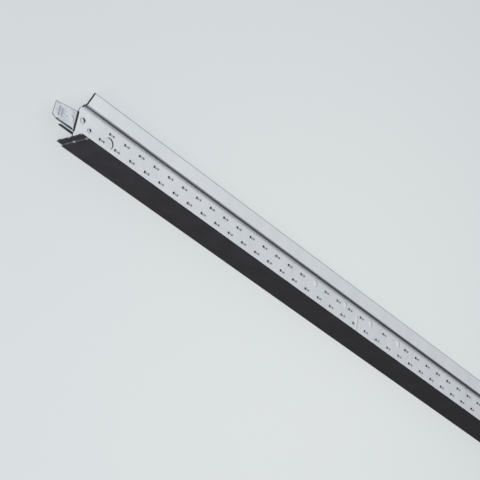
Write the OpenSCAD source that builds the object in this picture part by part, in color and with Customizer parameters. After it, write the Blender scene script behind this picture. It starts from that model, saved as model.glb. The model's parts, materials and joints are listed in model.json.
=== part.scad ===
// Cross tee of a suspended ceiling: a folded steel tee, a painted cap on its face and a clip at each end.
// It lies on its side with one edge of its face and the side of its bulb on the floor. Lengths are in mm.

/* [Tee] */
// Length of the flange from end to end
tee_len = 600; // [300:1:1200]
// Width of the exposed face
face_w = 24; // [20:0.5:30]
// Height from the exposed face to the top of the bulb
tee_h = 38; // [36:0.5:45]
// Thickness of the strip that the body is folded from
strip_t = 0.35; // [0.3:0.05:0.5]
// Distance from the flange's end back to the web's end
web_setback = 2; // [1:0.5:3]

/* [Bulb] */
// Width of the hollow bulb
bulb_w = 6.6; // [5.6:0.1:8]
// Height of the hollow bulb
bulb_h = 11.6; // [9:0.1:12]
// Outer radius of the bulb's upper corners
bulb_r = 1.5; // [0.8:0.1:1.8]
// Outer radius of the bulb's lower corners
bulb_low_r = 1; // [0.8:0.1:1.4]
// Fillet where the web runs into the bulb and into the flange
root_r = 0.5; // [0.3:0.1:0.8]
// Length over which one wall slopes in to the other at each end
pinch_l = 11; // [8:0.5:20]
// Gap left between the pinched walls
pinch_gap = 0.3; // [0.2:0.05:0.6]
// Distance from the web's end to the top of the sheared bulb
shear_l = 7; // [5:0.1:8]
// Distance that the web's upper corner is cut back at the bulb
corner_in = 2.6; // [2.4:0.1:3]
// Height of that corner below the bulb
corner_h = 4.6; // [4:0.1:4.8]
// Radius of that corner
corner_r = 7; // [7:0.5:9]

/* [Face cap] */
// Thickness of the painted cap strip
cap_t = 0.3; // [0.25:0.05:0.4]
// Width of the hem that returns over the flange
hem_w = 3.5; // [2:0.1:5]
// Room between the flange and the hem
hem_gap = 0.05; // [0.02:0.01:0.1]

/* [Raised ends] */
// Length of the flat end that rides on another tee's flange
ride_l = 4; // [2.5:0.1:8]
// Length of the slope up to it
ramp_l = 1.2; // [0.8:0.1:2]
// Height of the step
ride_up = 0.5; // [0.4:0.05:1]
// Distance that each edge of the raised end stands in from the level edge
ride_in = 0.85; // [0.8:0.05:1.5]

/* [Stitches] */
// Distance from one stitch to the next in a row
stitch_pitch = 14.34; // [12:0.01:20]
// Distance from the web's end to the first stitch
stitch_start = 23.4; // [20:0.01:30]
// Height of the lower row over the face
stitch_low_u = 12.8; // [11:0.05:14]
// Height of the upper row over the face
stitch_high_u = 20.5; // [19:0.05:21.5]
// Length of the bulge of a stitch
stitch_l = 3.2; // [2.6:0.1:3.6]
// Radius of the bulge at its wide end
stitch_r = 0.9; // [0.7:0.05:1]
// Radius of the bulge at its narrow end
stitch_tail_r = 0.35; // [0.2:0.05:0.5]
// Length of the slit at each end of a bulge
lance_l = 0.7; // [0.4:0.1:0.8]
// Height of the slits
lance_h = 1.5; // [1:0.1:1.8]
// Height of the dent behind a bulge
dent_h = 1.2; // [0.8:0.1:1.6]
// Depth of the dent
dent_depth = 0.45; // [0.3:0.05:0.5]
// Distance from the end of a bulge to the end of its dent
dent_in = 0.4; // [0.3:0.05:0.6]
// Length at each end of the web that is kept free of stitches
stitch_free = 20; // [18:0.5:30]

/* [Holes] */
// Radius of a hanger hole
hanger_r = 2.5; // [1.8:0.1:2.8]
// Height of the hanger holes over the face
hanger_u = 21.3; // [20:0.1:22]
// Distance from mid-length to the inner hanger holes
hanger_in = 15.9; // [12:0.1:20]
// Distance from mid-length to the outer hanger holes
hanger_out = 51.6; // [40:0.1:70]
// Radius of the larger hole near each end
end_hole_r = 3.75; // [2.5:0.05:4]
// Height of the larger hole over the face
end_hole_u = 14.2; // [13:0.1:16]
// Distance from the web's end to the larger hole
end_hole_x = 30; // [28:0.1:32]
// Width of the slot for cross clips
slot_w = 3; // [2.4:0.1:3.4]

/* [End clips] */
// Thickness of the clip
clip_t = 0.5; // [0.4:0.05:0.6]
// Height of the middle of the clip and of the slot over the face
clip_u = 13.2; // [12.8:0.1:13.6]
// Height of the clip's blade
clip_h = 12.6; // [11:0.1:13]
// Room above and below a blade in the slot
slot_gap = 0.8; // [0.2:0.05:1]
// Length of the blade beyond the web's end
blade_l = 19; // [16:0.5:24]
// Length of the tail that lies on the web
tail_l = 16; // [15:0.5:18]
// Rise of the blade's top edge toward the web
blade_rise = 1.4; // [0:0.1:2]
// Distance that the blade's tip leans back
tip_rake = 0.5; // [0.2:0.1:1]
// Height of the cut at the blade's lower front corner
nose_h = 1.6; // [1:0.1:3]
// Length of the cut at the blade's lower front corner
nose_l = 3.6; // [3:0.1:6]
// Width that the feet of the blade and the finger are turned out
foot_w = 2.2; // [1.2:0.1:2.4]
// Distance from the web's end to the turned-out feet
foot_x = 1.4; // [1:0.1:3]
// Height of the finger under the blade
finger_h = 0.9; // [0.8:0.1:2]
// Length of the finger beyond the web's end
finger_l = 12; // [8:0.5:14]
// Length of the finger's root behind the web's end
finger_root = 8; // [6:0.5:10]
// Gap between the finger and the blade
finger_gap = 1.8; // [1:0.1:2.2]
// Distance that the gap runs in past the web's end
finger_notch = 1.4; // [1:0.1:3]
// Width of the ribs pressed in the blade
rib_w = 1.2; // [0.8:0.1:1.4]
// Length of the ribs
rib_l = 6.3; // [4:0.1:8]
// Height of the ribs over the blade
rib_rise = 0.35; // [0.2:0.05:0.4]
// Distance from the web's end to the outer rib
rib_x = 14.2; // [13:0.1:15]
// Distance between the ribs
rib_pitch = 2.4; // [2:0.1:3]
// Radius of the dimple in the blade
dimple_r = 0.6; // [0.4:0.1:0.8]
// Depth of the dimple
dimple_depth = 0.25; // [0.1:0.05:0.3]
// Distance from the web's end to the dimple
dimple_x = 7.7; // [7:0.1:9]
// Height of the dimple over the face
dimple_u = 12.9; // [11:0.1:14]
// Radius of the hole in the blade
blade_hole_r = 2; // [1.2:0.1:2.2]
// Distance from the web's end to the hole in the blade
blade_hole_x = 3.4; // [3:0.1:5]
// Height of the hole in the blade over the face
blade_hole_u = 13.7; // [12:0.1:15]
// Radius of the hole in the web for the front eyelet
eyelet_front_r = 2; // [1.6:0.1:2.2]
// Distance from the web's end to the front eyelet
eyelet_front_x = 5.3; // [4.5:0.1:6]
// Height of the front eyelet over the face
eyelet_front_u = 17; // [16:0.1:17.2]
// Radius of the hole in the web for the rear eyelet
eyelet_rear_r = 1.5; // [1.2:0.1:1.8]
// Distance from the web's end to the rear eyelet
eyelet_rear_x = 12.3; // [11:0.1:12.8]
// Height of the rear eyelet over the face
eyelet_rear_u = 13.7; // [12:0.1:15]
// Wall of an eyelet
eyelet_wall = 0.35; // [0.3:0.05:0.4]
// Room between an eyelet and its hole
eyelet_gap = 0.05; // [0.02:0.01:0.1]
// Thickness of an eyelet's turned rim
rim_t = 0.25; // [0.2:0.05:0.4]
// Width of an eyelet's turned rim beyond its hole
rim_w = 0.4; // [0.3:0.05:0.6]

/* [Hidden] */
$fn = 48;
over = 1;
steel = "#c6cad0";
black = "#2f3033";
zinc = "#cfd1da";

web_t = 2 * strip_t;
web_len = tee_len - 2 * web_setback;
bulb_u = tee_h - bulb_h;
edge_t = 2 * cap_t + strip_t + hem_gap;
flange_u = cap_t + strip_t;
flange_half = face_w / 2 - cap_t - hem_gap;
level_end = tee_len / 2 - ride_l - ramp_l;
slot_h = clip_h + 2 * slot_gap;
hanger_xs = [-hanger_out, -hanger_in, hanger_in, hanger_out];

// Rounded corner of the web: a circle through its two ends, as the chord, its distance and the middle
corner_chord = norm([corner_in, corner_h]);
corner_off = sqrt(corner_r * corner_r - corner_chord * corner_chord / 4);
corner_x = corner_in / 2 + corner_off * corner_h / corner_chord;
corner_u = bulb_u - corner_h / 2 - corner_off * corner_in / corner_chord;

// Pinched bulb: its doubled floor, the side of the folded wall, its slope in plan and its thickness across
pinch_floor = bulb_u + 2 * strip_t;
pinch_tip = bulb_w / 2 - 2 * strip_t - pinch_gap;
pinch_slope = (pinch_tip + bulb_w / 2) / pinch_l;
pinch_skin = strip_t * sqrt(1 + pinch_slope * pinch_slope);

// Clip: edges of the blade and the eyelets as [distance from the web's end, height, hole radius]
blade_low = clip_u - clip_h / 2;
blade_high = clip_u + clip_h / 2;
clip_w = -web_t / 2 - clip_t;
finger_top = blade_low - finger_gap;
finger_low = finger_top - finger_h;
eyelets = [
    [eyelet_front_x, eyelet_front_u, eyelet_front_r],
    [eyelet_rear_x, eyelet_rear_u, eyelet_rear_r]
];

// Lying pose: the floor touches the level hem and the bulb's corner, each a circle as [height, side, radius]
hem_touch = [edge_t / 2, edge_t / 2 - face_w / 2, edge_t / 2];
bulb_touch = [tee_h - bulb_r, bulb_r - bulb_w / 2, bulb_r];
touch_u = bulb_touch[0] - hem_touch[0];
touch_w = bulb_touch[1] - hem_touch[1];
touch_d = norm([touch_u, touch_w]);
lean = atan2(touch_w, touch_u) - asin((bulb_touch[2] - hem_touch[2]) / touch_d);
floor_w = hem_touch[1] * cos(lean) - hem_touch[0] * sin(lean) - hem_touch[2];
side_min = hem_touch[1] * sin(lean) + hem_touch[0] * cos(lean) - hem_touch[2];
side_max = -bulb_touch[1] * sin(lean) + bulb_touch[0] * cos(lean) + bulb_r;

// In the tee's own frame x runs along it, y is the height over the face and z is across it
module lay_down() {
    translate([0, -(side_min + side_max) / 2, -floor_w])
        rotate([-lean, 0, 0])
            children();
}

// Both ends alike: the second is the first turned half round about the tee's height
module both_ends() {
    for (turn = [0, 180])
        rotate([0, turn, 0])
            translate([-web_len / 2, 0, 0])
                children();
}

// Extrudes a section drawn as [height, side] from one x to another
module along(x0, x1) {
    translate([x0, 0, 0])
        rotate([90, 0, 90])
            linear_extrude(x1 - x0)
                children();
}

// Extrudes a side view drawn as [x, height] from one side to another
module across(w0, w1) {
    translate([0, 0, w0])
        linear_extrude(w1 - w0)
            children();
}

// Extrudes a plan drawn as [x, side] from one height to another
module upward(u0, u1) {
    translate([0, u1, 0])
        rotate([90, 0, 0])
            linear_extrude(u1 - u0)
                children();
}

// A strip's section with fully rounded edges
module round_edged(u0, u1, half_w) {
    r = (u1 - u0) / 2;
    translate([u0, r - half_w])
        square([2 * r, 2 * (half_w - r)]);
    for (w = [r - half_w, half_w - r])
        translate([u0 + r, w])
            circle(r);
}

// A line along the tee at one height, stepped up at both raised ends
function stepped(u) = let (end = tee_len / 2) [
    [-end, u + ride_up], [ride_l - end, u + ride_up], [-level_end, u],
    [level_end, u], [end - ride_l, u + ride_up], [end, u + ride_up]
];

function reversed(list) = [for (i = [len(list) - 1:-1:0]) list[i]];

module stepped_band(u0, u1) {
    polygon(concat(stepped(u0), reversed(stepped(u1))));
}

// The flange of the strip: narrower at the raised ends, and short of the cap's edges there
module flange() {
    level = level_end - hem_gap;
    intersection() {
        across(-flange_half, flange_half)
            stepped_band(cap_t, flange_u);
        upward(0, ride_up + edge_t) {
            square([2 * level, 2 * flange_half], center = true);
            square([tee_len, 2 * (flange_half - ride_in)], center = true);
        }
    }
}

module web_plate() {
    top = bulb_u + strip_t / 2;
    across(-web_t / 2, web_t / 2)
        intersection() {
            polygon(concat(stepped(cap_t), [[tee_len / 2, top], [-tee_len / 2, top]]));
            translate([-web_len / 2, 0])
                square([web_len, tee_h]);
        }
}

// Fillets on both sides of the web, below the height u or above it
module web_fillets(u, way) {
    for (side = [-1, 1])
        difference() {
            translate([way > 0 ? u : u - root_r, side > 0 ? 0 : -web_t / 2 - root_r])
                square([root_r, web_t / 2 + root_r]);
            translate([u + way * root_r, side * (web_t / 2 + root_r)])
                circle(root_r);
        }
}

// The bulb's section at a depth below its skin
module bulb_section(depth) {
    half = bulb_w / 2 - depth;
    low = bulb_low_r - depth;
    high = bulb_r - depth;
    translate([bulb_u + bulb_low_r, -half])
        square([bulb_h - bulb_low_r - bulb_r, 2 * half]);
    translate([bulb_u + depth, low - half])
        square([low, 2 * (half - low)]);
    translate([tee_h - bulb_r, high - half])
        square([high, 2 * (half - high)]);
    for (side = [-1, 1]) {
        translate([bulb_u + bulb_low_r, side * (half - low)])
            circle(low);
        translate([tee_h - bulb_r, side * (half - high)])
            circle(high);
    }
}

// Plan of what the pinching takes away at one end: flat up to the end of the shear, then sloping out
module pinch_plan(tip, shift) {
    slope = (tip + bulb_w / 2) / pinch_l;
    end = shear_l + pinch_l + over;
    polygon([
        [-over, tip + shift], [shear_l, tip + shift], [end, shift - bulb_w / 2 - over * slope],
        [end, -bulb_w], [-over, -bulb_w]
    ]);
}

module bulb_hollow() {
    difference() {
        along(-web_len / 2 - over, web_len / 2 + over)
            bulb_section(strip_t);
        both_ends()
            upward(bulb_u, tee_h)
                pinch_plan(pinch_tip, pinch_skin);
    }
}

module bulb() {
    difference() {
        along(-web_len / 2, web_len / 2) {
            bulb_section(0);
            web_fillets(bulb_u, -1);
        }
        bulb_hollow();
        both_ends() {
            upward(pinch_floor, tee_h + over)
                pinch_plan(pinch_tip, 0);
            upward(bulb_u - root_r - over, pinch_floor)
                pinch_plan(-web_t / 2, 0);
        }
    }
}

// What the shear takes at one end: the web's upper corner and the sloping end of the bulb
module end_shear() {
    low = bulb_u - corner_h - strip_t;
    across(-bulb_w, bulb_w) {
        difference() {
            translate([-over, low])
                square([over + corner_in, tee_h + over - low]);
            translate([corner_x, corner_u])
                circle(corner_r);
        }
        polygon([
            [0, bulb_u], [corner_in, bulb_u], [shear_l, tee_h], [shear_l, tee_h + over], [0, tee_h + over]
        ]);
    }
}

// Stitches: their places as [x, height], without those that a hole or the middle of the slot takes
function clear_of_holes(x, u) =
    let (off_hangers = min([for (h = hanger_xs) norm([x - h, u - hanger_u])]) - hanger_r)
    let (off_ends = norm([abs(x) - web_len / 2 + end_hole_x, u - end_hole_u]) - end_hole_r)
    min(off_hangers, off_ends) > norm([stitch_l / 2, stitch_r]) && abs(x) > slot_w / 2 + dent_in;

function stitch_row(first, u) = [
    for (x = [first:stitch_pitch:web_len - stitch_free])
        if (clear_of_holes(x - web_len / 2, u)) [x - web_len / 2, u]
];

stitches = concat(
    stitch_row(stitch_start, stitch_low_u),
    stitch_row(stitch_start + stitch_pitch / 2, stitch_high_u)
);

module at_stitches() {
    for (place = stitches)
        translate([place[0], place[1], 0])
            children();
}

// A stitch bulges out of the web as half a cone
module stitch_bulge() {
    intersection() {
        translate([-stitch_l / 2, 0, web_t / 2])
            rotate([0, 90, 0])
                cylinder(h = stitch_l, r1 = stitch_r, r2 = stitch_tail_r);
        across(0, web_t / 2 + stitch_r)
            square([stitch_l, 2 * stitch_r], center = true);
    }
}

// What a stitch takes from the web: the dent behind it, and a slit at each end
module stitch_cut() {
    across(-web_t / 2 - over, dent_depth - web_t / 2)
        square([stitch_l - 2 * dent_in, dent_h], center = true);
    across(-web_t, web_t)
        for (end = [-1, 1])
            translate([end * (stitch_l + lance_l) / 2, 0])
                square([lance_l, lance_h], center = true);
}

module web_hole(x, u, r) {
    translate([x, u, 0])
        cylinder(h = web_t + 2 * over, r = r, center = true);
}

module clip_slot() {
    across(-web_t / 2 - over, web_t / 2 + stitch_r + over) {
        translate([-slot_w / 2, clip_u - slot_h / 2 + slot_w / 2])
            square([slot_w, slot_h - slot_w]);
        for (end = [-1, 1])
            translate([0, clip_u + end * (slot_h - slot_w) / 2])
                circle(slot_w / 2);
    }
}

module tee_body() {
    color(steel)
        lay_down()
            difference() {
                union() {
                    flange();
                    along(-level_end, level_end)
                        web_fillets(flange_u, 1);
                    web_plate();
                    bulb();
                    at_stitches()
                        stitch_bulge();
                }
                at_stitches()
                    stitch_cut();
                for (x = hanger_xs)
                    web_hole(x, hanger_u, hanger_r);
                clip_slot();
                both_ends() {
                    end_shear();
                    web_hole(end_hole_x, end_hole_u, end_hole_r);
                    for (place = eyelets)
                        web_hole(place[0], place[1], place[2]);
                }
            }
}

// The cap's strip, hemmed round both edges of the flange
module cap_strip(half) {
    across(-half, half)
        stepped_band(0, cap_t);
    for (turn = [0, 180])
        rotate([0, turn, 0]) {
            across(half - cap_t, half)
                stepped_band(0, edge_t);
            across(half - hem_w, half)
                stepped_band(edge_t - cap_t, edge_t);
        }
}

// Rounded outline of the cap's raised ends and of the ramps up to them
module raised_outline(half) {
    end = tee_len / 2;
    for (turn = [0, 180])
        rotate([0, turn, 0]) {
            along(end - ride_l, end)
                round_edged(ride_up, ride_up + edge_t, half);
            across(-half, half)
                translate([level_end, 0])
                    square([ramp_l, ride_up + edge_t]);
        }
}

module face_cap() {
    half = face_w / 2;
    color(black)
        lay_down() {
            intersection() {
                along(-level_end, level_end)
                    round_edged(0, edge_t, half);
                cap_strip(half);
            }
            intersection() {
                raised_outline(half - ride_in);
                cap_strip(half - ride_in);
            }
        }
}

module clip_sheet() {
    polygon([
        [tail_l, blade_low], [tail_l, blade_high], [0, blade_high + blade_rise],
        [tip_rake - blade_l, blade_high - blade_rise], [-blade_l, blade_low + nose_h],
        [nose_l - blade_l, blade_low]
    ]);
    translate([-finger_l, finger_low])
        square([finger_l + finger_root, finger_h]);
    translate([finger_notch, finger_low])
        square([finger_root - finger_notch, blade_low - finger_low + over]);
}

module eyelet(place) {
    r = place[2];
    translate([place[0], place[1], clip_w]) {
        cylinder(h = clip_t + web_t + rim_t, r = r - eyelet_gap);
        translate([0, 0, clip_t + web_t])
            cylinder(h = rim_t, r = r + rim_w);
    }
}

// A turned-out foot along the lower edge of the sheet, between two distances from the web's end
module foot(x0, x1, u) {
    across(clip_w, clip_w + foot_w)
        translate([x0, u])
            square([x1 - x0, clip_t]);
}

module blade_rib(x) {
    translate([x, clip_u - rib_l / 2, clip_w + clip_t + rib_rise - rib_w / 2])
        rotate([-90, 0, 0])
            cylinder(h = rib_l, r = rib_w / 2);
}

module end_clip(turn) {
    color(zinc)
        lay_down()
            rotate([0, turn, 0])
                translate([-web_len / 2, 0, 0])
                    difference() {
                        union() {
                            across(clip_w, clip_w + clip_t)
                                clip_sheet();
                            foot(nose_l - blade_l, -foot_x, blade_low);
                            foot(-finger_l, -foot_x, finger_low);
                            for (x = [-rib_x, rib_pitch - rib_x])
                                blade_rib(x);
                            for (place = eyelets)
                                eyelet(place);
                        }
                        for (place = eyelets)
                            web_hole(place[0], place[1], place[2] - eyelet_gap - eyelet_wall);
                        web_hole(-blade_hole_x, blade_hole_u, blade_hole_r);
                        translate([-dimple_x, dimple_u, clip_w + clip_t - dimple_depth])
                            cylinder(h = over, r = dimple_r);
                    }
}

tee_body();
face_cap();
end_clip(0);  // end_clip_left
end_clip(180);  // end_clip_right
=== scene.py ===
import json
import math

import bmesh
import bpy
from mathutils import Matrix, Vector

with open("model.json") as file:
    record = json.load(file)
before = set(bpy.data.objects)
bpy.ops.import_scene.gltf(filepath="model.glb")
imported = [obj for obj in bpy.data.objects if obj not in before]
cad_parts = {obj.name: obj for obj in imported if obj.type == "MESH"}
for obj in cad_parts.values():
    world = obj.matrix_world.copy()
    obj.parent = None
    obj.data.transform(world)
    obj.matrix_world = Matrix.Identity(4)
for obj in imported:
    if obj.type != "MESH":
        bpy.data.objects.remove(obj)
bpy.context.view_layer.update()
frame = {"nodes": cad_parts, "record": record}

# The body is one galvanised steel strip, folded into a hollow bulb over a double web and a flange.
# Two rows of lanced stitches hold the web together, and the ends are sheared, on a slope at the bulb.
# Zinc is a pale satin metal, partly bared where the strip was cut and pierced; painted shade darkens
# those walls and ends, the bulb's bends and underside, the stitches' tails and the end holes.
STEEL = "#d2d4d6"
STEEL_COOL = "#cbced2"
# Painted shade on the bulb's upper bends and its underside
BULB_SHADE = "#686b70"
# Painted shade: the pierced walls, partly bare steel, and the sheared ends, which are darkest
PIERCED_WALL_SHADE = "#585b60"
SHEARED_END_SHADE = "#2a2b2e"
STEEL_METALLIC = 0.8
SATIN_ROUGH = (0.4, 0.48)
BARE_ROUGH = 0.6
# Most values of a noise lie in this span
NOISE_SPAN = (0.3, 0.7)
SHEET_WAVE_MM = {"along": 17, "across": 85, "height": 0.25}
ROLL_MARK_MM = {"along": 60, "across": 0.7, "height": 0.004}
ZINC_GRAIN_MM = {"width": 0.35, "height": 0.003}
END_FACING = (0.5, 0.75)
SHEARED_FROM_MM = 288
BRIGHT_TO_MM = 58
BULGE_FROM_MM = 0.36
BULB_FROM_MM = 24
BULB_SHEAR = {"per_mm": 0.379, "at_mm": 305.03, "lip_mm": 0.9}
WEB_SHEAR = {"at_mm": 298, "lip_mm": 0.9, "middle_mm": 12.5, "half_mm": 7}
STITCH_MM = {"pitch": 14.34, "first": -274.6, "low": 11.8, "rows_apart": 7.7}
STITCHED_MM = {"middle": -11, "half": 266}
LEFT_OUT_MM = {"middle": 21.8, "half": 2}
# Painted shade round each stitch's tail
TAIL_SHADE_MM = {"along": 2.4, "up": 0.2, "fades": (1.05, 0.5)}
TAIL_SHADE_SHARE = 0.6
# Painted shade in a crescent at each large end hole
END_HOLE_CRESCENT_MM = {"at": (267.74, 13.44, 0), "fades": (3.95, 3.8)}
BEND_FACING = (0.1, 0.45)
BEND_SHARE = 0.8
TOP_FACING = (0.95, 0.8)
UNDER_FACING = (-0.4, -0.8)
# Painted shade under the bulb: how far it reaches across, and how it widens along the tee
UNDER_SHADE_FADES_MM = (2.9, 2.6)
UNDER_SHADE_WIDENING = -0.0016


def srgb(code):
    """Linear colour of an sRGB hex code."""
    parts = [int(code[i:i + 2], 16) / 255 for i in (1, 3, 5)]
    return [p / 12.92 if p <= 0.04045 else ((p + 0.055) / 1.055) ** 2.4 for p in parts] + [1]


def add(tree, kind, props=None, values=None, links=None):
    """Adds one node with its settings, its socket values and its incoming links."""
    node = tree.nodes.new(kind)
    for name, value in (props or {}).items():
        setattr(node, name, value)
    for socket, value in (values or {}).items():
        node.inputs[socket].default_value = value
    for socket, source in (links or {}).items():
        tree.links.new(source, node.inputs[socket])
    return node


mounts = {mount["name"]: mount for mount in frame["record"]["mounts"]}
seat = (Vector(mounts["panel_seat_upper"]["pos_m"]) + Vector(mounts["panel_seat_lower"]["pos_m"])) / 2
along = Vector((1, 0, 0))
across = Vector(mounts["hanger_hole_inner_left"]["axis"])
up_web = across.cross(along)
lean = math.atan2(across.y, across.z)


def new_finish(name):
    """Adds a material that knows its place on the tee in millimetres: along it, up its web, across it.

    Returns the material, its shader, the normal, the place, the place's three parts, and how far
    a face looks along the tee.
    """
    finish = bpy.data.materials.new(name)
    finish.use_nodes = True
    tree = finish.node_tree
    coord = add(tree, "ShaderNodeTexCoord")
    tee_mm = add(tree, "ShaderNodeMapping", {"vector_type": "TEXTURE"},
                 {"Location": seat, "Rotation": (-lean, 0, 0), "Scale": (0.001, 0.001, 0.001)},
                 {"Vector": coord.outputs["Object"]})
    tee_at = add(tree, "ShaderNodeSeparateXYZ", None, None, {"Vector": tee_mm.outputs["Vector"]})
    facing = add(tree, "ShaderNodeSeparateXYZ", None, None, {"Vector": coord.outputs["Normal"]})
    endwise = add(tree, "ShaderNodeMath", {"operation": "ABSOLUTE"}, None, {0: facing.outputs["X"]})
    return (finish, tree.nodes["Principled BSDF"], coord.outputs["Normal"], tee_mm.outputs["Vector"],
            tee_at.outputs, endwise.outputs[0])


def put_on(node, finish):
    """Gives a CAD node its material."""
    slots = frame["nodes"][node].data.materials
    slots.clear()
    slots.append(finish)


galvanised, steel, normal, place, at, endwise = new_finish("galvanised steel")
tree = galvanised.node_tree
# Slow waves along the strip, which bend the reflections into soft bands
wave_at = add(tree, "ShaderNodeMapping", None,
              {"Scale": (1 / SHEET_WAVE_MM["along"], 1 / SHEET_WAVE_MM["across"],
                         1 / SHEET_WAVE_MM["across"])},
              {"Vector": place})
wave = add(tree, "ShaderNodeTexNoise", None, {"Scale": 1, "Detail": 2},
           {"Vector": wave_at.outputs["Vector"]})
# Fine roll marks along the strip, drawn wider than the real ones so that they show
mark_at = add(tree, "ShaderNodeMapping", None,
              {"Scale": (1 / ROLL_MARK_MM["along"], 1 / ROLL_MARK_MM["across"],
                         1 / ROLL_MARK_MM["across"])},
              {"Vector": place})
mark = add(tree, "ShaderNodeTexNoise", None, {"Scale": 1, "Detail": 3},
           {"Vector": mark_at.outputs["Vector"]})
# Fine grain of the zinc
grain = add(tree, "ShaderNodeTexNoise", None, {"Scale": 1 / ZINC_GRAIN_MM["width"], "Detail": 2},
            {"Vector": place})
# Pierced walls and pressed edges, whose faces look along the strip, and the sheared ends: bare steel,
# painted darker still as shade
along_it = add(tree, "ShaderNodeMapRange", None,
               {"From Min": END_FACING[0], "From Max": END_FACING[1]}, {"Value": endwise})
outward = add(tree, "ShaderNodeMath", {"operation": "ABSOLUTE"}, None, {0: at["X"]})
at_end = add(tree, "ShaderNodeMath", {"operation": "GREATER_THAN"}, {1: SHEARED_FROM_MM},
             {0: outward.outputs[0]})
# Between the outer hanger holes the holes' and slot's walls are bright, and only the bulges dark
beyond = add(tree, "ShaderNodeMath", {"operation": "GREATER_THAN"}, {1: BRIGHT_TO_MM},
             {0: outward.outputs[0]})
raised = add(tree, "ShaderNodeMath", {"operation": "GREATER_THAN"}, {1: BULGE_FROM_MM}, {0: at["Z"]})
darkened = add(tree, "ShaderNodeMath", {"operation": "MAXIMUM"}, None,
               {0: beyond.outputs[0], 1: raised.outputs[0]})
cut_and_shade = add(tree, "ShaderNodeMath", {"operation": "MULTIPLY"}, None,
          {0: along_it.outputs["Result"], 1: darkened.outputs[0]})
# Painted shade on a lip along the sloping shear of the bulb's ends
sloped = add(tree, "ShaderNodeMath", {"operation": "MULTIPLY_ADD"}, {1: BULB_SHEAR["per_mm"]},
             {0: at["Y"], 2: outward.outputs[0]})
sloped_lip = add(tree, "ShaderNodeMapRange", None,
                 {"From Min": BULB_SHEAR["at_mm"] - BULB_SHEAR["lip_mm"],
                  "From Max": BULB_SHEAR["at_mm"] - BULB_SHEAR["lip_mm"] / 2},
                 {"Value": sloped.outputs[0]})
in_bulb = add(tree, "ShaderNodeMath", {"operation": "GREATER_THAN"}, {1: BULB_FROM_MM}, {0: at["Y"]})
bulb_lip = add(tree, "ShaderNodeMath", {"operation": "MULTIPLY"}, None,
               {0: sloped_lip.outputs["Result"], 1: in_bulb.outputs[0]})
# The same along the upright shear of the web
upright_lip = add(tree, "ShaderNodeMapRange", None,
                  {"From Min": WEB_SHEAR["at_mm"] - WEB_SHEAR["lip_mm"],
                   "From Max": WEB_SHEAR["at_mm"] - WEB_SHEAR["lip_mm"] / 2},
                  {"Value": outward.outputs[0]})
in_web = add(tree, "ShaderNodeMath", {"operation": "COMPARE"},
             {1: WEB_SHEAR["middle_mm"], 2: WEB_SHEAR["half_mm"]}, {0: at["Y"]})
web_lip = add(tree, "ShaderNodeMath", {"operation": "MULTIPLY"}, None,
              {0: upright_lip.outputs["Result"], 1: in_web.outputs[0]})
end_lip_shade = add(tree, "ShaderNodeMath", {"operation": "MAXIMUM"}, None,
              {0: bulb_lip.outputs[0], 1: web_lip.outputs[0]})
# Painted shade round the tail of each stitch, in both rows
upper = add(tree, "ShaderNodeMath", {"operation": "GREATER_THAN"},
            {1: STITCH_MM["low"] + STITCH_MM["rows_apart"] / 2}, {0: at["Y"]})
row_shift = add(tree, "ShaderNodeMath", {"operation": "MULTIPLY_ADD"},
                {1: STITCH_MM["pitch"] / 2, 2: STITCH_MM["first"] + TAIL_SHADE_MM["along"]},
                {0: upper.outputs[0]})
from_first = add(tree, "ShaderNodeMath", {"operation": "SUBTRACT"}, None,
                 {0: at["X"], 1: row_shift.outputs[0]})
from_tail = add(tree, "ShaderNodeMath", {"operation": "WRAP"},
                {1: STITCH_MM["pitch"] / 2, 2: -STITCH_MM["pitch"] / 2}, {0: from_first.outputs[0]})
row_height = add(tree, "ShaderNodeMath", {"operation": "MULTIPLY_ADD"},
                 {1: STITCH_MM["rows_apart"], 2: STITCH_MM["low"] + TAIL_SHADE_MM["up"]},
                 {0: upper.outputs[0]})
from_row = add(tree, "ShaderNodeMath", {"operation": "SUBTRACT"}, None,
               {0: at["Y"], 1: row_height.outputs[0]})
tail_at = add(tree, "ShaderNodeCombineXYZ", None, None,
              {"X": from_tail.outputs[0], "Y": from_row.outputs[0]})
from_mark = add(tree, "ShaderNodeVectorMath", {"operation": "LENGTH"}, None,
                {0: tail_at.outputs["Vector"]})
round_tail_shade = add(tree, "ShaderNodeMapRange", None,
                 {"From Min": TAIL_SHADE_MM["fades"][0], "From Max": TAIL_SHADE_MM["fades"][1],
                  "To Max": TAIL_SHADE_SHARE},
                 {"Value": from_mark.outputs["Value"]})
# No tail shade beyond the rows' ends, nor beside the hanger hole that takes the place of an upper stitch
in_rows = add(tree, "ShaderNodeMath", {"operation": "COMPARE"},
              {1: STITCHED_MM["middle"], 2: STITCHED_MM["half"]}, {0: at["X"]})
beside_hole = add(tree, "ShaderNodeMath", {"operation": "COMPARE"},
                  {1: LEFT_OUT_MM["middle"], 2: LEFT_OUT_MM["half"]}, {0: at["X"]})
left_out = add(tree, "ShaderNodeMath", {"operation": "MULTIPLY"}, None,
               {0: beside_hole.outputs[0], 1: upper.outputs[0]})
stitched = add(tree, "ShaderNodeMath", {"operation": "SUBTRACT"}, None,
               {0: in_rows.outputs[0], 1: left_out.outputs[0]})
tail_shade = add(tree, "ShaderNodeMath", {"operation": "MULTIPLY"}, None,
                {0: round_tail_shade.outputs["Result"], 1: stitched.outputs[0]})
# Painted shade in a crescent at the large end holes, on the side toward the tee's middle and its bulb
end_at = add(tree, "ShaderNodeCombineXYZ", None, None, {"X": outward.outputs[0], "Y": at["Y"]})
from_hole = add(tree, "ShaderNodeVectorMath", {"operation": "DISTANCE"}, {1: END_HOLE_CRESCENT_MM["at"]},
                {0: end_at.outputs["Vector"]})
hole_crescent = add(tree, "ShaderNodeMapRange", None,
           {"From Min": END_HOLE_CRESCENT_MM["fades"][0], "From Max": END_HOLE_CRESCENT_MM["fades"][1]},
           {"Value": from_hole.outputs["Value"]})
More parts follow.
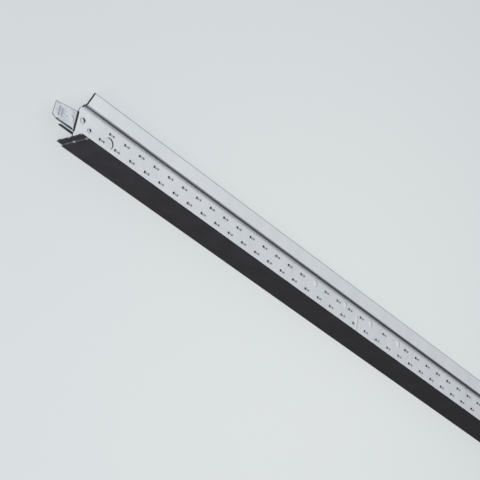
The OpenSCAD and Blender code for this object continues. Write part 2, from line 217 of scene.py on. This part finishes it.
# All the painted shade together, at the walls, ends, stitches and holes
edge_and_tail_shade = add(tree, "ShaderNodeMath", {"operation": "MAXIMUM"}, None,
             {0: cut_and_shade.outputs[0], 1: tail_shade.outputs[0]})
shade_and_crescent = add(tree, "ShaderNodeMath", {"operation": "MAXIMUM"}, None,
              {0: edge_and_tail_shade.outputs[0], 1: hole_crescent.outputs["Result"]})
painted_light_marks = add(tree, "ShaderNodeMath", {"operation": "MAXIMUM"}, None,
            {0: shade_and_crescent.outputs[0], 1: end_lip_shade.outputs[0]})
edge_shade_colour = add(tree, "ShaderNodeMix", {"data_type": "RGBA"}, {6: srgb(PIERCED_WALL_SHADE), 7: srgb(SHEARED_END_SHADE)},
           {0: at_end.outputs[0]})
# The zinc's own tone drifts with the waves
tint = add(tree, "ShaderNodeMapRange", None,
           {"From Min": NOISE_SPAN[0], "From Max": NOISE_SPAN[1]}, {"Value": wave.outputs["Fac"]})
skin = add(tree, "ShaderNodeMix", {"data_type": "RGBA"}, {6: srgb(STEEL), 7: srgb(STEEL_COOL)},
           {0: tint.outputs["Result"]})
# Painted shade on the bulb's upper bends, where they turn away from the light
lift = add(tree, "ShaderNodeVectorMath", {"operation": "DOT_PRODUCT"}, {1: up_web}, {0: normal})
bend = add(tree, "ShaderNodeMapRange", None,
           {"From Min": BEND_FACING[0], "From Max": BEND_FACING[1], "To Max": BEND_SHARE},
           {"Value": lift.outputs["Value"]})
off_top = add(tree, "ShaderNodeMapRange", None,
              {"From Min": TOP_FACING[0], "From Max": TOP_FACING[1]}, {"Value": lift.outputs["Value"]})
painted_crease_light = add(tree, "ShaderNodeMath", {"operation": "MULTIPLY"}, None,
             {0: bend.outputs["Result"], 1: off_top.outputs["Result"]})
# Painted shade on the bulb's underside, a little wider toward the far end
under = add(tree, "ShaderNodeMapRange", None,
            {"From Min": UNDER_FACING[0], "From Max": UNDER_FACING[1]}, {"Value": lift.outputs["Value"]})
aside = add(tree, "ShaderNodeMath", {"operation": "ABSOLUTE"}, None, {0: at["Z"]})
widened = add(tree, "ShaderNodeMath", {"operation": "MULTIPLY_ADD"}, {1: UNDER_SHADE_WIDENING},
          {0: at["X"], 2: aside.outputs[0]})
inner = add(tree, "ShaderNodeMapRange", None,
            {"From Min": UNDER_SHADE_FADES_MM[0], "From Max": UNDER_SHADE_FADES_MM[1]}, {"Value": widened.outputs[0]})
under_shade = add(tree, "ShaderNodeMath", {"operation": "MULTIPLY"}, None,
           {0: under.outputs["Result"], 1: inner.outputs["Result"]})
bulb_shade_mask = add(tree, "ShaderNodeMath", {"operation": "MAXIMUM"}, None,
             {0: painted_crease_light.outputs[0], 1: under_shade.outputs[0]})
bulb_shaded = add(tree, "ShaderNodeMath", {"operation": "MULTIPLY"}, None,
           {0: bulb_shade_mask.outputs[0], 1: in_bulb.outputs[0]})
zinc_skin = add(tree, "ShaderNodeMix", {"data_type": "RGBA"}, {7: srgb(BULB_SHADE)},
                {0: bulb_shaded.outputs[0], 6: skin.outputs[2]})
colour = add(tree, "ShaderNodeMix", {"data_type": "RGBA"}, None,
             {0: painted_light_marks.outputs[0], 6: zinc_skin.outputs[2], 7: edge_shade_colour.outputs[2]})
satin = add(tree, "ShaderNodeMapRange", None,
            {"From Min": NOISE_SPAN[0], "From Max": NOISE_SPAN[1],
             "To Min": SATIN_ROUGH[0], "To Max": SATIN_ROUGH[1]},
            {"Value": mark.outputs["Fac"]})
rough = add(tree, "ShaderNodeMix", None, {3: BARE_ROUGH},
            {0: painted_light_marks.outputs[0], 2: satin.outputs["Result"]})
wavy = add(tree, "ShaderNodeBump", None, {"Strength": 1, "Distance": SHEET_WAVE_MM["height"] / 1000},
           {"Height": wave.outputs["Fac"]})
marked = add(tree, "ShaderNodeBump", None, {"Strength": 1, "Distance": ROLL_MARK_MM["height"] / 1000},
             {"Height": mark.outputs["Fac"], "Normal": wavy.outputs["Normal"]})
grained = add(tree, "ShaderNodeBump", None, {"Strength": 1, "Distance": ZINC_GRAIN_MM["height"] / 1000},
              {"Height": grain.outputs["Fac"], "Normal": marked.outputs["Normal"]})
steel.inputs["Metallic"].default_value = STEEL_METALLIC
tree.links.new(colour.outputs[2], steel.inputs["Base Color"])
tree.links.new(rough.outputs[0], steel.inputs["Roughness"])
tree.links.new(grained.outputs["Normal"], steel.inputs["Normal"])
put_on("tee_body", galvanised)

# The face cap is a strip of steel coil-painted black before it is hemmed round the flange's edges.
# The paint is nearly matt, with a fine orange peel, and it is rubbed in places.
# Where the ends are pressed up in a step, a painted highlight turns it grey in flecks, with a few
# brighter painted glints.
PAINT = "#272629"
PAINT_WORN = "#302f33"
# Painted highlight and glints on the step at each end
PAINT_STEP_HIGHLIGHT = "#6c6e72"
PAINT_STEP_GLINT = "#d3d4d6"
PAINT_GLOSS = 0.03
PAINT_ROUGH = (0.5, 0.6)
ORANGE_PEEL_MM = {"width": 0.9, "height": 0.008}
RUB_MM = 14
WORN_SPAN = (0.4, 0.75)
STEP_FACING = (0.3, 0.6)
STEP_FLECK_MM = 2.2
STEP_HIGHLIGHT_SPAN = (0.3, 0.6)
GLINT_EVERY_MM = 11
GLINT_SPAN = (0.82, 0.97)

paint_black, paint, _, place, at, endwise = new_finish("black coil paint")
tree = paint_black.node_tree
peel = add(tree, "ShaderNodeTexNoise", None, {"Scale": 1 / ORANGE_PEEL_MM["width"], "Detail": 2},
           {"Vector": place})
rub = add(tree, "ShaderNodeTexNoise", None, {"Scale": 1 / RUB_MM, "Detail": 4}, {"Vector": place})
step_fleck_noise = add(tree, "ShaderNodeTexNoise", None, {"Scale": 1 / STEP_FLECK_MM, "Detail": 1}, {"Vector": place})
# The step up at each end, whose faces look along the strip and carry the painted highlight
step = add(tree, "ShaderNodeMapRange", None,
           {"From Min": STEP_FACING[0], "From Max": STEP_FACING[1]}, {"Value": endwise})
flecks = add(tree, "ShaderNodeMapRange", None,
             {"From Min": STEP_HIGHLIGHT_SPAN[0], "From Max": STEP_HIGHLIGHT_SPAN[1]}, {"Value": step_fleck_noise.outputs["Fac"]})
painted_crease_light = add(tree, "ShaderNodeMath", {"operation": "MULTIPLY"}, None,
             {0: step.outputs["Result"], 1: flecks.outputs["Result"]})
# Painted glints on the step, at its middle and near its edges
turns = add(tree, "ShaderNodeMath", {"operation": "MULTIPLY"}, {1: 2 * math.pi / GLINT_EVERY_MM},
            {0: at["Z"]})
glint_wave = add(tree, "ShaderNodeMath", {"operation": "COSINE"}, None, {0: turns.outputs[0]})
spots = add(tree, "ShaderNodeMapRange", None,
            {"From Min": GLINT_SPAN[0], "From Max": GLINT_SPAN[1]}, {"Value": glint_wave.outputs[0]})
painted_light_marks = add(tree, "ShaderNodeMath", {"operation": "MULTIPLY"}, None,
            {0: step.outputs["Result"], 1: spots.outputs["Result"]})
worn = add(tree, "ShaderNodeMapRange", None,
           {"From Min": WORN_SPAN[0], "From Max": WORN_SPAN[1]}, {"Value": rub.outputs["Fac"]})
film = add(tree, "ShaderNodeMix", {"data_type": "RGBA"}, {6: srgb(PAINT), 7: srgb(PAINT_WORN)},
           {0: worn.outputs["Result"]})
with_step_highlight = add(tree, "ShaderNodeMix", {"data_type": "RGBA"}, {7: srgb(PAINT_STEP_HIGHLIGHT)},
             {0: painted_crease_light.outputs[0], 6: film.outputs[2]})
colour = add(tree, "ShaderNodeMix", {"data_type": "RGBA"}, {7: srgb(PAINT_STEP_GLINT)},
             {0: painted_light_marks.outputs[0], 6: with_step_highlight.outputs[2]})
rough = add(tree, "ShaderNodeMapRange", None,
            {"From Min": NOISE_SPAN[0], "From Max": NOISE_SPAN[1],
             "To Min": PAINT_ROUGH[0], "To Max": PAINT_ROUGH[1]},
            {"Value": rub.outputs["Fac"]})
peeled = add(tree, "ShaderNodeBump", None, {"Strength": 1, "Distance": ORANGE_PEEL_MM["height"] / 1000},
             {"Height": peel.outputs["Fac"]})
paint.inputs["Specular IOR Level"].default_value = PAINT_GLOSS
tree.links.new(colour.outputs[2], paint.inputs["Base Color"])
tree.links.new(rough.outputs["Result"], paint.inputs["Roughness"])
tree.links.new(peeled.outputs["Normal"], paint.inputs["Normal"])
put_on("face_cap", paint_black)

# The two end clips are stamped from spring steel and zinc plated, with eyelets drawn through the web.
# The plating is a little bluer and shinier than the strip's zinc, and clouded.
# The stamped edges are dark, partly bare steel and partly painted shade, and the undersides and the thin
# finger below the blade are painted shade.
PLATING = "#c2c4ca"
PLATING_DULL = "#b2b5bb"
# Painted shade on the stamped edges, the undersides and the finger
STAMPED_AND_SHADE = "#48494d"
ROLLED = "#85888e"
PLATING_METALLIC = 1
PLATING_ROUGH = (0.28, 0.4)
PLATING_CLOUD_MM = 5
CLOUD_SPAN = (0.35, 0.7)
PLATING_GRAIN_MM = {"width": 0.25, "height": 0.004}
STAMPED_FACING = (0.35, 0.75)
FOOT_TIP_UNSHADED_MM = (-0.7, -0.3)
FINGER_SHADED_MM = (4.1, 3.7)
BLADE_TOP = {"per_mm": 0.1514, "at_mm": 65.00, "rolled_mm": 1}

plated, zinc, normal, place, at, endwise = new_finish("zinc plating")
tree = plated.node_tree
cloud = add(tree, "ShaderNodeTexNoise", None, {"Scale": 1 / PLATING_CLOUD_MM, "Detail": 3},
            {"Vector": place})
grain = add(tree, "ShaderNodeTexNoise", None, {"Scale": 1 / PLATING_GRAIN_MM["width"], "Detail": 1},
            {"Vector": place})
dull = add(tree, "ShaderNodeMapRange", None,
           {"From Min": CLOUD_SPAN[0], "From Max": CLOUD_SPAN[1]}, {"Value": cloud.outputs["Fac"]})
skin = add(tree, "ShaderNodeMix", {"data_type": "RGBA"}, {6: srgb(PLATING), 7: srgb(PLATING_DULL)},
           {0: dull.outputs["Result"]})
# The sloping top of the blade, which the punch rolled over and left dull
outward = add(tree, "ShaderNodeMath", {"operation": "ABSOLUTE"}, None, {0: at["X"]})
sloped = add(tree, "ShaderNodeMath", {"operation": "MULTIPLY_ADD"}, {1: BLADE_TOP["per_mm"]},
             {0: outward.outputs[0], 2: at["Y"]})
rolled = add(tree, "ShaderNodeMapRange", None,
             {"From Min": BLADE_TOP["at_mm"] - BLADE_TOP["rolled_mm"], "From Max": BLADE_TOP["at_mm"]},
             {"Value": sloped.outputs[0]})
topped = add(tree, "ShaderNodeMix", {"data_type": "RGBA"}, {7: srgb(ROLLED)},
             {0: rolled.outputs["Result"], 6: skin.outputs[2]})
# Painted shade on faces that look down to the tee's face, except on a turned-out foot's outer half
under = add(tree, "ShaderNodeVectorMath", {"operation": "DOT_PRODUCT"}, {1: -up_web}, {0: normal})
end_sign = add(tree, "ShaderNodeMath", {"operation": "SIGN"}, None, {0: at["X"]})
toward_clip = add(tree, "ShaderNodeMath", {"operation": "MULTIPLY"}, None,
                  {0: at["Z"], 1: end_sign.outputs[0]})
off_foot_tip = add(tree, "ShaderNodeMapRange", None,
               {"From Min": FOOT_TIP_UNSHADED_MM[0], "From Max": FOOT_TIP_UNSHADED_MM[1]},
               {"Value": toward_clip.outputs[0]})
under_foot = add(tree, "ShaderNodeMath", {"operation": "MULTIPLY"}, None,
                 {0: under.outputs["Value"], 1: off_foot_tip.outputs["Result"]})
edge = add(tree, "ShaderNodeMath", {"operation": "MAXIMUM"}, None,
           {0: endwise, 1: under_foot.outputs[0]})
cut_and_shade = add(tree, "ShaderNodeMapRange", None,
          {"From Min": STAMPED_FACING[0], "From Max": STAMPED_FACING[1]}, {"Value": edge.outputs[0]})
# Painted shade all round the thin finger under the blade
finger = add(tree, "ShaderNodeMapRange", None,
             {"From Min": FINGER_SHADED_MM[0], "From Max": FINGER_SHADED_MM[1]}, {"Value": at["Y"]})
clip_shade = add(tree, "ShaderNodeMath", {"operation": "MAXIMUM"}, None,
              {0: cut_and_shade.outputs["Result"], 1: finger.outputs["Result"]})
colour = add(tree, "ShaderNodeMix", {"data_type": "RGBA"}, {7: srgb(STAMPED_AND_SHADE)},
             {0: clip_shade.outputs[0], 6: topped.outputs[2]})
rough = add(tree, "ShaderNodeMapRange", None,
            {"From Min": NOISE_SPAN[0], "From Max": NOISE_SPAN[1],
             "To Min": PLATING_ROUGH[0], "To Max": PLATING_ROUGH[1]},
            {"Value": cloud.outputs["Fac"]})
grained = add(tree, "ShaderNodeBump", None,
              {"Strength": 1, "Distance": PLATING_GRAIN_MM["height"] / 1000},
              {"Height": grain.outputs["Fac"]})
zinc.inputs["Metallic"].default_value = PLATING_METALLIC
tree.links.new(colour.outputs[2], zinc.inputs["Base Color"])
tree.links.new(rough.outputs["Result"], zinc.inputs["Roughness"])
tree.links.new(grained.outputs["Normal"], zinc.inputs["Normal"])
for clip in ("end_clip_left", "end_clip_right"):
    put_on(clip, plated)

# The floor is a plain pale sweep that curves up into a low backdrop far behind the tee.
# It has a painted pool of light round the tee, lighter than farther out.
# Most of its tone is its own, so that the tee's shadow on it stays faint, as in a lit studio.
FLOOR = "#dde1e2"
FLOOR_FAR = "#cdd3d5"
# A painted pool of light round the tee
FLOOR_PAINTED_POOL_M = {"at": (0.02, -0.08, 0), "reach": 0.55}
FLOOR_OWN_TONE = 0.84
FLOOR_RADIUS_M = 9
FLOOR_SIDES = 96
BACKDROP_RISE_M = 1.8
COVE_RADIUS_M = 0.8
COVE_STEPS = 10

floor_mesh = bpy.data.meshes.new("floor")
shape = bmesh.new()
bmesh.ops.create_circle(shape, cap_ends=True, segments=FLOOR_SIDES, radius=FLOOR_RADIUS_M)
rim = list(shape.edges)
wall = bmesh.ops.extrude_edge_only(shape, edges=rim)["geom"]
bmesh.ops.translate(shape, verts=[part for part in wall if isinstance(part, bmesh.types.BMVert)],
                    vec=(0, 0, BACKDROP_RISE_M))
bmesh.ops.bevel(shape, geom=rim, offset=COVE_RADIUS_M, segments=COVE_STEPS, profile=0.5,
                affect="EDGES", material=-1)
for face in shape.faces:
    face.smooth = True
shape.to_mesh(floor_mesh)
shape.free()
floor = bpy.data.objects.new("floor", floor_mesh)
bpy.context.scene.collection.objects.link(floor)

sweep = bpy.data.materials.new("pale studio floor")
sweep.use_nodes = True
tree = sweep.node_tree
tree.nodes.remove(tree.nodes["Principled BSDF"])
coord = add(tree, "ShaderNodeTexCoord")
# Painted pool of light: the floor is paler near the tee
off = add(tree, "ShaderNodeVectorMath", {"operation": "DISTANCE"}, {1: FLOOR_PAINTED_POOL_M["at"]},
          {0: coord.outputs["Object"]})
far = add(tree, "ShaderNodeMapRange", {"interpolation_type": "SMOOTHSTEP"},
          {"From Max": FLOOR_PAINTED_POOL_M["reach"]}, {"Value": off.outputs["Value"]})
pale = add(tree, "ShaderNodeMix", {"data_type": "RGBA"}, {6: srgb(FLOOR), 7: srgb(FLOOR_FAR)},
           {0: far.outputs["Result"]})
# The floor's own tone is there for the camera and for reflections, and adds no other light to the tee
ray = add(tree, "ShaderNodeLightPath")
seen = add(tree, "ShaderNodeMath", {"operation": "MAXIMUM"}, None,
           {0: ray.outputs["Is Camera Ray"], 1: ray.outputs["Is Glossy Ray"]})
shown = add(tree, "ShaderNodeMath", {"operation": "MAXIMUM"}, None,
            {0: seen.outputs[0], 1: ray.outputs["Is Transmission Ray"]})
own = add(tree, "ShaderNodeMath", {"operation": "MULTIPLY"}, {1: FLOOR_OWN_TONE},
          {0: shown.outputs[0]})
matt = add(tree, "ShaderNodeBsdfDiffuse", None, None, {"Color": pale.outputs[2]})
tone = add(tree, "ShaderNodeEmission", None, {"Strength": 1}, {"Color": pale.outputs[2]})
both = add(tree, "ShaderNodeMixShader", None, None,
           {0: own.outputs[0], 1: matt.outputs["BSDF"], 2: tone.outputs["Emission"]})
tree.links.new(both.outputs["Shader"], tree.nodes["Material Output"].inputs["Surface"])
floor_mesh.materials.append(sweep)

# The studio is lit from above and from the bulb's side, as by a wide skylight, and is dim elsewhere.
# One small soft box beside the camera lifts the black face at the near end.
SKY = "#f7f9fb"
SKYLIGHT = Vector((0.1, 0.4, 0.9))
SKYLIGHT_FADES = (0.45, 0.85)
SKY_LIGHT = 1.45
ROOM_LIGHT = 0.1
SOFT_BOX = {"at_m": Vector((-0.75, -0.5, 0.3)), "side_m": 0.4, "watts": 7}

studio = bpy.data.worlds.new("studio")
studio.use_nodes = True
bpy.context.scene.world = studio
tree = studio.node_tree
direction = add(tree, "ShaderNodeTexCoord")
toward = add(tree, "ShaderNodeVectorMath", {"operation": "DOT_PRODUCT"}, {1: SKYLIGHT.normalized()},
             {0: direction.outputs["Generated"]})
room = add(tree, "ShaderNodeMapRange", {"interpolation_type": "SMOOTHSTEP"},
           {"From Min": SKYLIGHT_FADES[0], "From Max": SKYLIGHT_FADES[1],
            "To Min": ROOM_LIGHT, "To Max": SKY_LIGHT},
           {"Value": toward.outputs["Value"]})
tree.nodes["Background"].inputs["Color"].default_value = srgb(SKY)
tree.links.new(room.outputs["Result"], tree.nodes["Background"].inputs["Strength"])

lamp = bpy.data.lights.new("soft box", "AREA")
lamp.shape = "SQUARE"
lamp.size = SOFT_BOX["side_m"]
lamp.energy = SOFT_BOX["watts"]
stand = bpy.data.objects.new("soft box", lamp)
stand.location = SOFT_BOX["at_m"]
stand.rotation_euler = (-SOFT_BOX["at_m"]).to_track_quat("-Z", "Y").to_euler()
bpy.context.scene.collection.objects.link(stand)

# The camera looks along the tee from below its face, with the bulb toward the top of the picture.
# Its places are in millimetres from the middle of the seats, along the tee, up its web and across it.
CAMERA_AT_MM = Vector((-944.7, -534.4, 782.6))
CAMERA_AIM_MM = Vector((-126.6, 18.14, -7.72))
PICTURE_UP = Vector((-0.448, 0.881, 0.152))
CAMERA_LENS_MM = 139.86

tee_axes = Matrix((along, up_web, across)).transposed()
back = (CAMERA_AT_MM - CAMERA_AIM_MM).normalized()
right = PICTURE_UP.cross(back).normalized()
camera = bpy.data.objects.new("camera", bpy.data.cameras.new("camera"))
camera.data.lens = CAMERA_LENS_MM
camera.location = seat + tee_axes @ CAMERA_AT_MM / 1000
camera.rotation_euler = (tee_axes @ Matrix((right, back.cross(right), back)).transposed()).to_euler()
bpy.context.scene.collection.objects.link(camera)
bpy.context.scene.camera = camera
bpy.context.scene.view_settings.view_transform = "Standard"
